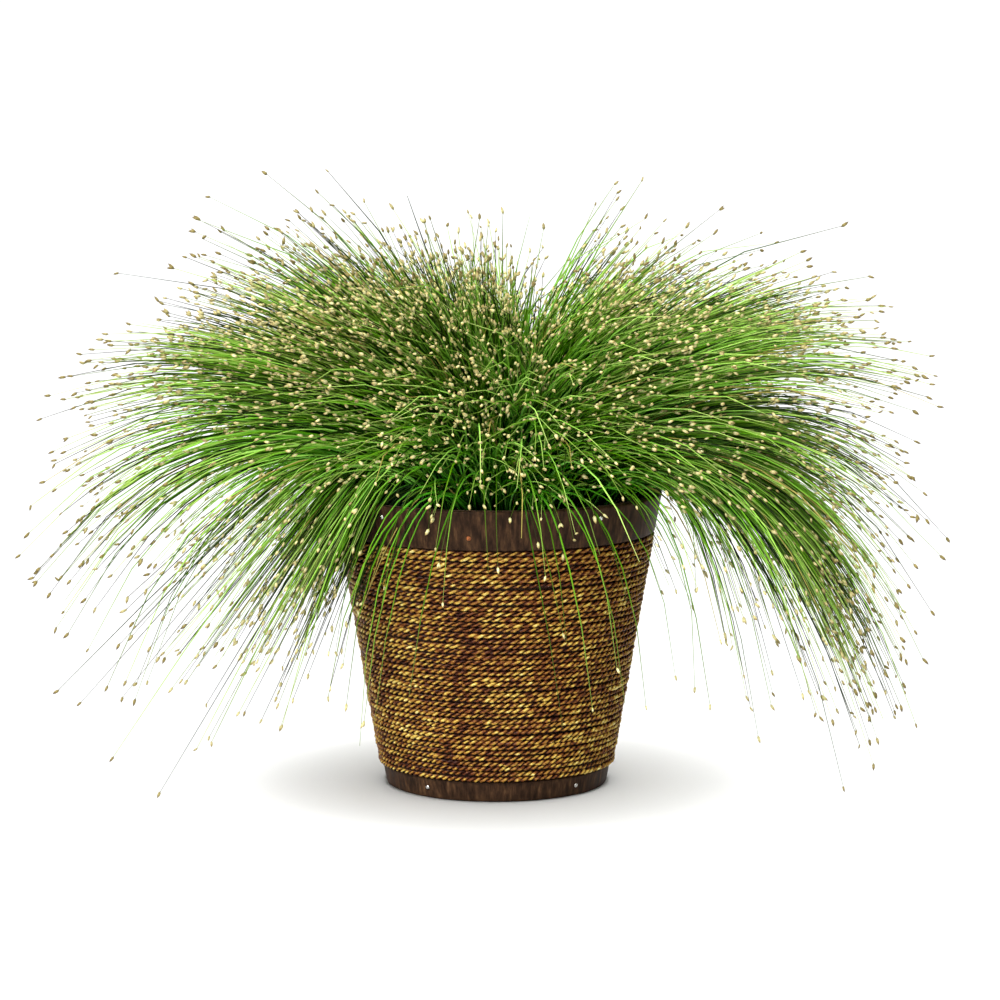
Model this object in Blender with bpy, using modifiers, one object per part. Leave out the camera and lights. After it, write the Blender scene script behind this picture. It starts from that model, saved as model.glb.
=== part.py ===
"""Fiber optic grass (a fine-stemmed sedge) growing in a rope-wound planter.

Metres, +Z up. The origin is the centre of the planter's foot, on the surface that it stands on. The plant spreads
furthest along X and shows its front towards -Y. Angles round the planter are measured from +X towards +Y.
"""

import math
import random
from collections import namedtuple

import bmesh
import bpy
import numpy as np
from mathutils import Matrix

MM = 0.001

# Planter: one straight taper from the foot to the rim
HEIGHT = 151 * MM
FOOT_RADIUS = 57 * MM
RIM_RADIUS = 85 * MM
RIM_BAND_HEIGHT = 20 * MM
FOOT_BAND_HEIGHT = 10.5 * MM
BAND_THICKNESS = 2.8 * MM
WALL_THICKNESS = 3 * MM
FLOOR_THICKNESS = 4 * MM
EDGE_ROUNDING = 0.8 * MM
STEPS = 24
GAP = 0.3 * MM

# Cord wound round the planter between the two bands
CORD_TURNS = 43
CORD_GROOVE = 0.95 * MM

# Nails that hold the bands: angles in degrees from the front, positive towards +X
NAIL_HEAD_RADIUS = 1.2 * MM
NAIL_HEAD_HEIGHT = 0.7 * MM
NAIL_SHANK_RADIUS = 0.5 * MM
NAIL_SHANK_LENGTH = 2.2 * MM
NAIL_HOLE_RADIUS = 0.9 * MM
NAIL_SIDES = 6
RIM_NAIL_ANGLES = (-42.5, 38, 128, 222)
RIM_NAIL_HEIGHT = 145.5 * MM
LOW_NAIL_ANGLE = -9.4
LOW_NAIL_HEIGHT = 137.5 * MM
FOOT_NAIL_ANGLES = (-36.7, 43.8, 135, 228)
FOOT_NAIL_HEIGHT = 5.5 * MM

# Soil: slightly mounded, below the rim
SOIL_EDGE_HEIGHT = 137 * MM
SOIL_MOUND = 4 * MM

# Stems: each lock of stems is one tapered tube from the soil to the furthest tips
LOCK_SIDES = 6
LOCK_STUB = 5 * MM
LOCK_FULL_RADIUS = 15 * MM
LOCK_BASE_SHARE = 0.42
LOCK_TIP_RADIUS = 1.1 * MM
LOCK_SPACE = 0.6 * MM
TIP_LIFT = 9 * MM
FRONT_REACH = 0.66
BACK_REACH = 0.84
SEED = 7

# A layer of locks: rise, shoulder and tip are (distance from the axis, height) in millimetres at the sides
Layer = namedtuple("Layer", "name angles root rise shoulder tip points wander")


def spaced(count, first):
    """Angles in degrees of count locks spread evenly all round."""
    return [first + 360 * i / count for i in range(count)]


LAYERS = (
    Layer("stems_crown", spaced(5, 20), 10, (16, 212), (34, 262), (58, 310), 6, 5),
    Layer("stems_upper", spaced(8, 4), 23, (42, 200), (88, 262), (142, 294), 6, 4),
    Layer("stems_middle", spaced(11, 12), 36, (62, 186), (128, 246), (212, 246), 7, 3),
    Layer("stems_outer", spaced(12, 2), 50, (76, 178), (160, 222), (236, 158), 8, 3),
    Layer(
        "stems_skirt",
        [side + turn for side in (0, 180) for turn in (-50, -25, 0, 25, 50)],
        64,
        (86, 190),
        (168, 196),
        (208, 36),
        8,
        3,
    ),
)


def clear_scene():
    """Empties the scene."""
    for obj in list(bpy.data.objects):
        bpy.data.objects.remove(obj, do_unlink=True)


def new_collection(name, hidden=False):
    """Returns a new collection in the scene."""
    collection = bpy.data.collections.new(name)
    bpy.context.scene.collection.children.link(collection)
    collection.hide_render = hidden
    return collection


def material(name, colour, roughness, metallic=0.0):
    """Returns a plain Principled material; colour is linear."""
    made = bpy.data.materials.new(name)
    made.use_nodes = True
    shader = made.node_tree.nodes["Principled BSDF"]
    shader.inputs["Base Color"].default_value = (*colour, 1)
    shader.inputs["Roughness"].default_value = roughness
    shader.inputs["Metallic"].default_value = metallic
    return made


def outer_radius(z):
    """Radius of the planter's outside at height z."""
    return FOOT_RADIUS + (RIM_RADIUS - FOOT_RADIUS) * z / HEIGHT


def body_radius(z):
    """Radius of the planter body's outside, under the bands and the cord."""
    return outer_radius(z) - BAND_THICKNESS - GAP


def inner_radius(z):
    """Radius of the planter body's inside."""
    return body_radius(z) - WALL_THICKNESS


def turned(name, profile, closed, collection, finish, steps=STEPS):
    """Turns a profile of (radius, height) points round Z; it runs down the outer side of the shape."""
    mesh = bpy.data.meshes.new(name)
    last = len(profile) - 1
    edges = [(i, i + 1) for i in range(last)]
    if closed:
        edges.append((last, 0))
    mesh.from_pydata([(radius, 0, height) for radius, height in profile], edges, [])
    obj = bpy.data.objects.new(name, mesh)
    collection.objects.link(obj)
    screw = obj.modifiers.new("Turn", "SCREW")
    screw.axis = "Z"
    screw.angle = math.tau
    screw.steps = steps
    screw.render_steps = steps
    screw.use_merge_vertices = True
    screw.merge_threshold = 0.01 * MM
    screw.use_smooth_shade = True
    if finish:
        mesh.materials.append(finish)
    return obj


def planter_body(collection, finish):
    """Tapered bucket that holds the soil."""
    profile = [
        (0, FLOOR_THICKNESS),
        (inner_radius(FLOOR_THICKNESS), FLOOR_THICKNESS),
        (inner_radius(HEIGHT - EDGE_ROUNDING), HEIGHT - EDGE_ROUNDING),
        (inner_radius(HEIGHT) + EDGE_ROUNDING, HEIGHT),
        (body_radius(HEIGHT) - EDGE_ROUNDING, HEIGHT),
        (body_radius(HEIGHT - EDGE_ROUNDING), HEIGHT - EDGE_ROUNDING),
        (body_radius(0), 0),
        (0, 0),
    ]
    return turned("planter_body", profile, False, collection, finish)


def band(name, low, high, collection, finish):
    """Flat strip round the planter between two heights, with its outer edges rounded off."""
    profile = [
        (outer_radius(high) - EDGE_ROUNDING, high),
        (outer_radius(high - EDGE_ROUNDING), high - EDGE_ROUNDING),
        (outer_radius(low + EDGE_ROUNDING), low + EDGE_ROUNDING),
        (outer_radius(low) - EDGE_ROUNDING, low),
        (outer_radius(low) - BAND_THICKNESS, low),
        (outer_radius(high) - BAND_THICKNESS, high),
    ]
    return turned(name, profile, True, collection, finish)


def rope_winding(collection, finish):
    """Cord wound turn on turn from the foot band to the rim band, as one ridge a turn."""
    low = FOOT_BAND_HEIGHT + GAP
    high = HEIGHT - RIM_BAND_HEIGHT - GAP
    pitch = (high - low) / CORD_TURNS
    profile = [(outer_radius(high) - CORD_GROOVE, high)]
    for turn in range(CORD_TURNS):
        crest = high - (turn + 0.5) * pitch
        groove = crest - pitch / 2
        profile.append((outer_radius(crest), crest))
        profile.append((outer_radius(groove) - CORD_GROOVE, groove))
    profile.append((outer_radius(low) - BAND_THICKNESS, low))
    profile.append((outer_radius(high) - BAND_THICKNESS, high))
    return turned("rope_winding", profile, True, collection, finish)


def soil_height(radius):
    """Height of the soil's mounded top at a distance from the axis."""
    share = min(radius / inner_radius(SOIL_EDGE_HEIGHT), 1)
    return SOIL_EDGE_HEIGHT + SOIL_MOUND * (1 - share**2)


def soil(collection, finish):
    """Potting mix that fills the planter body."""
    edge = inner_radius(SOIL_EDGE_HEIGHT) - GAP
    low = FLOOR_THICKNESS + GAP
    top = [edge * i / 4 for i in range(5)]
    profile = [(radius, soil_height(radius)) for radius in top]
    profile += [(inner_radius(low) - GAP, low), (0, low)]
    return turned("soil", profile, False, collection, finish)


def facet_radius(z, angle):
    """Distance from the axis to the planter's flat facet at an angle in radians."""
    step = math.tau / STEPS
    off_centre = angle % step - step / 2
    return outer_radius(z) * math.cos(step / 2) / math.cos(off_centre)


def nail_frame(angle_from_front, z):
    """Matrix whose +Z points out of the planter's side, with its origin on the surface."""
    angle = math.radians(angle_from_front - 90)
    slope = math.atan2(RIM_RADIUS - FOOT_RADIUS, HEIGHT)
    radius = facet_radius(z, angle % math.tau)
    place = Matrix.Translation((radius * math.cos(angle), radius * math.sin(angle), z))
    turn = Matrix.Rotation(angle, 4, "Z") @ Matrix.Rotation(math.pi / 2 + slope, 4, "Y")
    return place @ turn


def nail(name, frame, pieces, cutters, finish, strip):
    """Round-headed nail, and its hole in the strip that it holds."""
    rim = NAIL_HEAD_RADIUS
    profile = [
        (0, GAP + NAIL_HEAD_HEIGHT),
        (rim * 0.7, GAP + NAIL_HEAD_HEIGHT * 0.75),
        (rim, GAP),
        (NAIL_SHANK_RADIUS, GAP),
        (NAIL_SHANK_RADIUS, GAP - NAIL_SHANK_LENGTH),
        (0, GAP - NAIL_SHANK_LENGTH - NAIL_SHANK_RADIUS / 2),
    ]
    obj = turned(name, profile, False, pieces, finish, NAIL_SIDES)
    obj.matrix_world = frame
    mesh = bpy.data.meshes.new(name + "_hole")
    shape = bmesh.new()
    bmesh.ops.create_cone(
        shape,
        cap_ends=True,
        segments=NAIL_SIDES,
        radius1=NAIL_HOLE_RADIUS,
        radius2=NAIL_HOLE_RADIUS,
        depth=4 * BAND_THICKNESS,
    )
    shape.to_mesh(mesh)
    shape.free()
    cutter = bpy.data.objects.new(name + "_hole", mesh)
    cutters.objects.link(cutter)
    cutter.matrix_world = frame
    cutter.hide_render = True
    cutter.display_type = "WIRE"
    cut = strip.modifiers.new(name, "BOOLEAN")
    cut.operation = "DIFFERENCE"
    cut.solver = "EXACT"
    cut.object = cutter
    return obj


def reach(angle):
    """How far a lock spreads at an angle in radians, as a share of its spread at the sides."""
    along = math.sin(angle)
    end = BACK_REACH if along > 0 else FRONT_REACH
    return 1 + (end - 1) * along**2


def bezier(ends, t):
    """Point of a cubic Bezier curve."""
    weights = ((1 - t) ** 3, 3 * t * (1 - t) ** 2, 3 * t * t * (1 - t), t**3)
    return sum(weight * np.array(end, float) for weight, end in zip(weights, ends))


def lock_path(layer, degrees, rng):
    """Centre line of one lock: straight up out of the soil, then along the layer's curve."""
    start = math.radians(degrees + rng.uniform(-layer.wander, layer.wander))
    drift = math.radians(rng.uniform(-layer.wander, layer.wander))
    stretch = rng.uniform(0.96, 1.02)
    lift = rng.uniform(-TIP_LIFT, TIP_LIFT)
    root = layer.root * MM
    low = soil_height(root - LOCK_BASE_SHARE * LOCK_FULL_RADIUS) + GAP
    ends = [(root, low + LOCK_STUB)]
    ends += [(radius * MM, height * MM) for radius, height in (layer.rise, layer.shoulder, layer.tip)]
    path = [(root * math.cos(start), root * math.sin(start), low)]
    for i in range(layer.points - 1):
        t = i / (layer.points - 2)
        radius, height = bezier(ends, t)
        height += lift * t
        angle = start + drift * t
        radius = root + (radius - root) * reach(angle) * (1 + (stretch - 1) * t)
        path.append((radius * math.cos(angle), radius * math.sin(angle), height))
    return np.array(path)


def distance_to_line(point, line):
    """Least distance from a point to a polyline."""
    starts, runs = line[:-1], np.diff(line, axis=0)
    share = ((point - starts) * runs).sum(1) / (runs**2).sum(1)
    nearest = starts + runs * share.clip(0, 1)[:, None]
    return np.linalg.norm(point - nearest, axis=1).min()


def distance_to_planter(point):
    """Distance from a point to the planter's wall or rim."""
    radius, z = math.hypot(point[0], point[1]), point[2]
    if z < HEIGHT:
        return min(abs(inner_radius(z) - radius), abs(radius - outer_radius(z)))
    aside = max(inner_radius(HEIGHT) - radius, radius - RIM_RADIUS, 0)
    return math.hypot(aside, z - HEIGHT)


def lock_radii(path, others):
    """A spindle that stops short of the planter and of half the way to the nearest other lock."""
    radii = []
    for i, point in enumerate(path):
        t = i / (len(path) - 1)
        full = LOCK_FULL_RADIUS * (LOCK_BASE_SHARE + 1.35 * t) * (1 - t**2.6) + LOCK_TIP_RADIUS * t
        room = min(distance_to_line(point, other) for other in others) / 2
        room = min(room, distance_to_planter(point)) - LOCK_SPACE
        radii.append(min(full, room))
    return radii


def lock(name, path, radii, collection, finish):
    """One lock of stems as a tapered tube with closed ends."""
    curve = bpy.data.curves.new(name, "CURVE")
    curve.dimensions = "3D"
    curve.bevel_depth = 1
    curve.bevel_resolution = LOCK_SIDES // 2 - 2
    curve.use_fill_caps = True
    curve.render_resolution_u = 0
    spline = curve.splines.new("POLY")
    spline.points.add(len(path) - 1)
    for point, place, radius in zip(spline.points, path, radii):
        point.co = (*place, 1)
        point.radius = radius
    curve.materials.append(finish)
    obj = bpy.data.objects.new(name, curve)
    collection.objects.link(obj)
    return obj


def stems(collection, finish):
    """All locks of stems, layer by layer from the middle outwards."""
    rng = random.Random(SEED)
    names, paths = [], []
    for layer in LAYERS:
        for i, degrees in enumerate(layer.angles):
            names.append(f"{layer.name}_{i + 1:02d}")
            paths.append(lock_path(layer, degrees, rng))
    for i, path in enumerate(paths):
        others = paths[:i] + paths[i + 1 :]
        lock(names[i], path, lock_radii(path, others), collection, finish)


def main():
    """Builds the planter, the soil and the plant."""
    clear_scene()
    pieces = new_collection("Potted fiber optic grass")
    cutters = new_collection("Nail holes", hidden=True)

    fibreboard = material("fibreboard", (0.075, 0.045, 0.028), 0.8)
    bark = material("bark strip", (0.048, 0.024, 0.017), 0.6)
    cord = material("varnished cord", (0.30, 0.15, 0.04), 0.4)
    steel = material("bright nail", (0.72, 0.70, 0.66), 0.3, 1.0)
    peat = material("potting mix", (0.035, 0.024, 0.016), 0.95)
    green = material("green stems", (0.11, 0.27, 0.02), 0.5)

    planter_body(pieces, fibreboard)
    rope_winding(pieces, cord)
    rim = band("rim_band", HEIGHT - RIM_BAND_HEIGHT, HEIGHT, pieces, bark)
    foot = band("foot_band", 0, FOOT_BAND_HEIGHT, pieces, bark)
    for i, angle in enumerate(RIM_NAIL_ANGLES):
        frame = nail_frame(angle, RIM_NAIL_HEIGHT)
        nail(f"rim_nail_{i + 1}", frame, pieces, cutters, steel, rim)
    frame = nail_frame(LOW_NAIL_ANGLE, LOW_NAIL_HEIGHT)
    nail("rim_nail_low", frame, pieces, cutters, steel, rim)
    for i, angle in enumerate(FOOT_NAIL_ANGLES):
        frame = nail_frame(angle, FOOT_NAIL_HEIGHT)
        nail(f"foot_nail_{i + 1}", frame, pieces, cutters, steel, foot)
    soil(pieces, peat)
    stems(pieces, green)


main()
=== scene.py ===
"""Fiber optic grass growing in a rope-wound planter: every visible surface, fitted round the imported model.

Lengths are in metres. The planter's axis is Z, the photographed side faces -Y, and the plant spreads
furthest along X.
"""

from __future__ import annotations

import logging
import math
from dataclasses import dataclass, field
from enum import Enum
from typing import Any, Callable, Sequence

import bpy
import numpy as np
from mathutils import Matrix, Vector

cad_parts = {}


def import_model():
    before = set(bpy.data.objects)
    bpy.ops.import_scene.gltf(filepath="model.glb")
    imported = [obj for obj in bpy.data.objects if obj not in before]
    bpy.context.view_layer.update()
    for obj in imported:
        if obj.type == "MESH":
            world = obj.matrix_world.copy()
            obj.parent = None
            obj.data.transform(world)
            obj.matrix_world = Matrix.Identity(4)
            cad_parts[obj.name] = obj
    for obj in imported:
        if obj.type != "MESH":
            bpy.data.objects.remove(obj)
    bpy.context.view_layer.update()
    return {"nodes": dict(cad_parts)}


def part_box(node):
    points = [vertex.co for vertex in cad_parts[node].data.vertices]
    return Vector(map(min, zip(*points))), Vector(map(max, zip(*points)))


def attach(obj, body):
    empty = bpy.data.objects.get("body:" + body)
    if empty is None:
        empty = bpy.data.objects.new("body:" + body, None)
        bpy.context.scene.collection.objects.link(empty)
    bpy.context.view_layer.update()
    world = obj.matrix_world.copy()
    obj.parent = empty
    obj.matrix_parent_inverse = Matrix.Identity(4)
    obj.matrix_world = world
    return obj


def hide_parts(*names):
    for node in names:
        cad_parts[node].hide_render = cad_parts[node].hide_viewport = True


LOG = logging.getLogger("fiber_optic_grass")
MM = 0.001
EDGE_ROUNDING = 0.8 * MM
BAKE_MAP = "OFBake"
# Across the bake map lies a shape's tone, and within that its angle; up the map lies how far along it is
BAKE_TONE = 0.985
BAKE_SECTION = 0.008
ROOT = "root"
Array = np.ndarray


def linear(hex_colour: str) -> tuple[float, float, float, float]:
    """Turns an sRGB hex colour to linear light.

    Args:
        hex_colour: Six hex digits, with or without a leading hash.

    Returns:
        Linear red, green, blue and an alpha of 1.
    """
    digits = hex_colour.lstrip("#")
    parts = [int(digits[i : i + 2], 16) / 255 for i in (0, 2, 4)]
    red, green, blue = (p / 12.92 if p <= 0.04045 else ((p + 0.055) / 1.055) ** 2.4 for p in parts)
    return red, green, blue, 1.0


def add_node(
    tree: bpy.types.NodeTree, kind: str, inputs: dict | None = None, stops: Sequence = (), **settings: Any
) -> bpy.types.Node:
    """Adds a node with its settings, values and links.

    Args:
        tree: The node tree to add to.
        kind: The node's type name.
        inputs: Socket name or number to a value or to the output that feeds it.
        stops: A colour ramp's (position, hex colour) pairs.
        **settings: The node's own properties.

    Returns:
        The new node.
    """
    node = tree.nodes.new(kind)
    for name, value in settings.items():
        setattr(node, name, value)
    for key, value in (inputs or {}).items():
        if isinstance(value, bpy.types.NodeSocket):
            tree.links.new(value, node.inputs[key])
        else:
            node.inputs[key].default_value = value
    for i, (position, colour) in enumerate(stops):
        stop = node.color_ramp.elements[i] if i < 2 else node.color_ramp.elements.new(position)
        stop.position = position
        stop.color = linear(colour)
    return node


def mesh_object(name: str, mesh: bpy.types.Mesh) -> bpy.types.Object:
    """Puts a mesh in the scene as an object at the origin.

    Args:
        name: The object's name.
        mesh: Its mesh.

    Returns:
        The object.
    """
    obj = bpy.data.objects.new(name, mesh)
    bpy.context.scene.collection.objects.link(obj)
    return obj


def dress(
    obj: bpy.types.Object, finish: bpy.types.Material, nodes: Sequence[str]
) -> bpy.types.Object:
    """Gives a finished piece its material and its place in the frame.

    Args:
        obj: The piece, with its place in its mesh.
        finish: Its material.
        nodes: The CAD nodes that it stands for.

    Returns:
        The same piece.
    """
    obj.data.materials.clear()
    obj.data.materials.append(finish)
    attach(obj, ROOT)
    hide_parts(*nodes)
    LOG.info("%s: %d faces", obj.name, len(obj.data.polygons))
    return obj


@dataclass(frozen=True)
class Finish:
    """A material made of nodes, named for what the real surface is."""

    name: str
    roughness: float = 0.5
    gloss: float = 0.5

    def surface(self, tree: bpy.types.NodeTree, shader: bpy.types.Node) -> None:
        """Adds the nodes that feed the shader."""

    def mottle(
        self,
        tree: bpy.types.NodeTree,
        shader: bpy.types.Node,
        stops: Sequence[tuple[float, str]],
        noise: dict[str, Any],
        relief: tuple[float, float] | None = None,
    ) -> bpy.types.NodeSocket:
        """Colours the surface by a noise, and raises it where the noise is high.

        Args:
            tree: The material's nodes.
            shader: Its Principled BSDF.
            stops: The colours, from where the noise is low.
            noise: The noise's inputs.
            relief: The bump's strength, and its height in metres.

        Returns:
            The noise's level.
        """
        level = add_node(tree, "ShaderNodeTexNoise", noise).outputs["Fac"]
        colour = add_node(tree, "ShaderNodeValToRGB", {"Fac": level}, stops)
        tree.links.new(colour.outputs["Color"], shader.inputs["Base Color"])
        if relief:
            inputs = {"Height": level, "Strength": relief[0], "Distance": relief[1]}
            bump = add_node(tree, "ShaderNodeBump", inputs)
            tree.links.new(bump.outputs[0], shader.inputs["Normal"])
        return level

    def build(self) -> bpy.types.Material:
        """Makes the material.

        Returns:
            The finished material.
        """
        material = bpy.data.materials.new(self.name)
        material.use_nodes = True
        tree = material.node_tree
        shader = tree.nodes["Principled BSDF"]
        shader.inputs["Roughness"].default_value = self.roughness
        shader.inputs["Specular IOR Level"].default_value = self.gloss
        self.surface(tree, shader)
        return material


@dataclass(frozen=True)
class LivingStem(Finish):
    """Sedge culm: smooth and slightly waxy, darkest near the soil, where the near black is painted shade, and
    yellowing towards its tip.
    """

    name: str = "living sedge stem"
    roughness: float = 0.42
    gloss: float = 0.12
    hues: tuple[float, float] = (0.493, 0.513)
    saturations: tuple[float, float] = (0.86, 1.1)
    brightest: float = 2.35
    dry_tones: tuple[float, float] = (0.955, 0.965)

    def surface(self, tree: bpy.types.NodeTree, shader: bpy.types.Node) -> None:
        """Colour runs along the stem, and each stem has a tone of its own.

        Args:
            tree: The material's nodes.
            shader: Its Principled BSDF.
        """
        # Its skin gives soft light along each stem and no glint
        place = add_node(tree, "ShaderNodeUVMap", uv_map=BAKE_MAP)
        split = add_node(tree, "ShaderNodeSeparateXYZ", {0: place.outputs["UV"]})
        tone, along = split.outputs["X"], split.outputs["Y"]
        # Along each stem: near black at the soil, a painted shade low in the tuft, then dark to bright green
        # and yellowing at the tip
        stops = ((0.0, "0a1c03"), (0.16, "1f5205"), (0.4, "45940a"), (0.75, "679c14"), (1.0, "728038"))
        green = add_node(tree, "ShaderNodeValToRGB", {"Fac": along}, stops)
        inputs = {"Value": tone, "To Min": self.hues[0], "To Max": self.hues[1]}
        hue = add_node(tree, "ShaderNodeMapRange", inputs)
        inputs = {"Value": tone, "To Min": self.saturations[0], "To Max": self.saturations[1]}
        depth = add_node(tree, "ShaderNodeMapRange", inputs)
        # A higher tone is darker, and the locks' painted shade raises it
        inputs = {"Value": tone, "From Max": self.dry_tones[1], "To Min": self.brightest, "To Max": 0.0}
        value = add_node(tree, "ShaderNodeMapRange", inputs)
        inputs = {"Hue": hue.outputs[0], "Saturation": depth.outputs[0], "Value": value.outputs[0]}
        inputs["Color"] = green.outputs["Color"]
        varied = add_node(tree, "ShaderNodeHueSaturation", inputs)
        inputs = {"Value": tone, "From Min": self.dry_tones[0], "From Max": self.dry_tones[1]}
        dry = add_node(tree, "ShaderNodeMapRange", inputs)
        inputs = {0: dry.outputs[0], 6: varied.outputs["Color"], 7: linear("a89a4e")}
        mixed = add_node(tree, "ShaderNodeMix", inputs, data_type="RGBA")
        tree.links.new(mixed.outputs[2], shader.inputs["Base Color"])


@dataclass(frozen=True)
class PaperyGlume(Finish):
    """Spikelet scales: dry, papery and cream, greener at the base and browner towards the tip; heads further
    out are browner and darker, partly ripening and partly painted shade.
    """

    name: str = "papery spikelet scales"
    roughness: float = 0.62

    def surface(self, tree: bpy.types.NodeTree, shader: bpy.types.Node) -> None:
        """Colour runs along the spikelet, and a head's tone mixes it towards the browner, darker ramp.

        Args:
            tree: The material's nodes.
            shader: Its Principled BSDF.
        """
        # Dry scales scatter the light, so a head reads as a pale dot
        place = add_node(tree, "ShaderNodeUVMap", uv_map=BAKE_MAP)
        split = add_node(tree, "ShaderNodeSeparateXYZ", {0: place.outputs["UV"]})
        tone, along = split.outputs["X"], split.outputs["Y"]
        fresh = ((0.0, "7f8a34"), (0.14, "cbc274"), (0.45, "f6f0b8"), (0.74, "dcca7c"), (1.0, "7a5826"))
        # Browner, darker ramp: partly ripening, partly painted shade for the heads further out
        ripening_and_painted_shade = ((0.0, "363a10"), (0.14, "5e521c"), (0.45, "80702e"), (0.74, "584718"), (1.0, "2c200a"))
        cream = add_node(tree, "ShaderNodeValToRGB", {"Fac": along}, fresh)
        brown = add_node(tree, "ShaderNodeValToRGB", {"Fac": along}, ripening_and_painted_shade)
        inputs = {0: tone, 6: cream.outputs["Color"], 7: brown.outputs["Color"]}
        mixed = add_node(tree, "ShaderNodeMix", inputs, data_type="RGBA")
        tree.links.new(mixed.outputs[2], shader.inputs["Base Color"])


@dataclass(frozen=True)
class TwistedCord(Finish):
    """Plant-fibre cord, varnished and golden, with a painted highlight on its crests and painted shade, dark
    brown, in its grooves.
    """

    name: str = "varnished plant-fibre cord"
    roughness: float = 0.42
    gloss: float = 0.14
    stain: float = 5.5 * MM
    patch: float = 34 * MM
    groove: float = 1.5 * MM
    foot_radius: float = 0.057
    slope: float = 0.2

    def surface(self, tree: bpy.types.NodeTree, shader: bpy.types.Node) -> None:
        """Stains run along the cord further than across it; crests get a painted highlight, and places sunk
        below the cord's face are darker with painted shade.

        Args:
            tree: The material's nodes.
            shader: Its Principled BSDF.
        """
        # Varnish gleams a little, and the crests also carry a painted highlight; the grooves stay dull and
        # dark with painted shade
        place = add_node(tree, "ShaderNodeTexCoord").outputs["Object"]
        scale = (1 / self.stain, 1 / self.stain, 2 / self.stain)
        flat = add_node(tree, "ShaderNodeMapping", {"Vector": place, "Scale": scale})
        inputs = {"Vector": flat.outputs[0], "Scale": 1.0, "Detail": 3.0, "Roughness": 0.7}
        stained = add_node(tree, "ShaderNodeTexNoise", inputs)
        split = add_node(tree, "ShaderNodeSeparateXYZ", {0: place})
        level = add_node(tree, "ShaderNodeCombineXYZ", {0: split.outputs[0], 1: split.outputs[1]})
        length = add_node(tree, "ShaderNodeVectorMath", {0: level.outputs[0]}, operation="LENGTH")
        reach = length.outputs["Value"]
        inputs = {0: split.outputs[2], 1: self.slope, 2: self.foot_radius}
        face = add_node(tree, "ShaderNodeMath", inputs, operation="MULTIPLY_ADD").outputs[0]
        depth = add_node(tree, "ShaderNodeMath", {0: face, 1: reach}, operation="SUBTRACT").outputs[0]
        # Painted highlight: colour climbs the ramp on the crests and drops on the sides of each lobe
        inputs = {"Value": depth, "From Min": 0.0, "From Max": 0.8 * MM, "To Min": 0.05, "To Max": -0.08}
        painted_crest_highlight = add_node(tree, "ShaderNodeMapRange", inputs).outputs[0]
        inputs = {0: stained.outputs["Fac"], 1: painted_crest_highlight}
        stain_and_painted_highlight = add_node(tree, "ShaderNodeMath", inputs, operation="ADD").outputs[0]
        inputs = {"Vector": place, "Scale": 1 / self.patch, "Detail": 1.0}
        patches = add_node(tree, "ShaderNodeTexNoise", inputs)
        inputs = {"Value": patches.outputs["Fac"], "From Min": 0.3, "From Max": 0.7}
        inputs |= {"To Min": -0.05, "To Max": 0.05}
        shade = add_node(tree, "ShaderNodeMapRange", inputs).outputs[0]
        golden = add_node(tree, "ShaderNodeMath", {0: stain_and_painted_highlight, 1: shade}, operation="ADD").outputs[0]
        stops = ((0.30, "33140a"), (0.42, "683814"), (0.52, "946a2a"), (0.62, "ba9c42"), (0.76, "ded28c"))
        colour = add_node(tree, "ShaderNodeValToRGB", {"Fac": golden}, stops)
        # Painted shade: the grooves between plies and turns fade towards near-black brown, more the lower
        # they lie
        inputs = {"Value": depth, "From Min": 0.3 * MM, "From Max": self.groove, "To Min": 0.0, "To Max": 0.9}
        painted_groove_shade = add_node(tree, "ShaderNodeMapRange", inputs, interpolation_type="SMOOTHSTEP").outputs[0]
        inputs = {0: painted_groove_shade, 6: colour.outputs["Color"], 7: linear("240b04")}
        mixed = add_node(tree, "ShaderNodeMix", inputs, data_type="RGBA")
        tree.links.new(mixed.outputs[2], shader.inputs["Base Color"])


@dataclass(frozen=True)
class BarkStrip(Finish):
    """Pressed bark strip, oiled: dark brown with finer, lighter streaks across its width."""

    name: str = "pressed bark strip"
    roughness: float = 0.5
    gloss: float = 0.06
    streak: float = 2.2 * MM

    def surface(self, tree: bpy.types.NodeTree, shader: bpy.types.Node) -> None:
        """Streaks run up the strip, over broader stains.

        Args:
            tree: The material's nodes.
            shader: Its Principled BSDF.
        """
        # Oil gives a low, broken gleam; real grain is finer, and is drawn coarser to show
        place = add_node(tree, "ShaderNodeTexCoord")
        scale = (1 / self.streak, 1 / self.streak, 0.14 / self.streak)
        flat = add_node(tree, "ShaderNodeMapping", {"Vector": place.outputs["Object"], "Scale": scale})
        inputs = {"Vector": flat.outputs[0], "Scale": 1.0, "Detail": 4.0, "Roughness": 0.6}
        stops = ((0.3, "1c110a"), (0.48, "312116"), (0.6, "412d1e"), (0.75, "5c432c"))
        streaks = self.mottle(tree, shader, stops, inputs, (0.5, 0.3 * MM))
        inputs = {"Value": streaks, "To Min": 0.38, "To Max": 0.66}
        rough = add_node(tree, "ShaderNodeMapRange", inputs)
        tree.links.new(rough.outputs[0], shader.inputs["Roughness"])


@dataclass(frozen=True)
class PressedBoard(Finish):
    """Fibreboard of the planter's wall: dull brown with a fine fleck."""

    name: str = "pressed fibreboard"
    roughness: float = 0.8

    def surface(self, tree: bpy.types.NodeTree, shader: bpy.types.Node) -> None:
        """A fleck of about 2 mm.

        Args:
            tree: The material's nodes.
            shader: Its Principled BSDF.
        """
        # Raw board is dull, and only seen as a brown behind the cord
        place = add_node(tree, "ShaderNodeTexCoord")
        inputs = {"Vector": place.outputs["Object"], "Scale": 1 / (2 * MM), "Detail": 3.0}
        stops = ((0.35, "2c1a10"), (0.55, "4a3020"), (0.7, "684a33"))
        self.mottle(tree, shader, stops, inputs, (0.4, 0.2 * MM))


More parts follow.
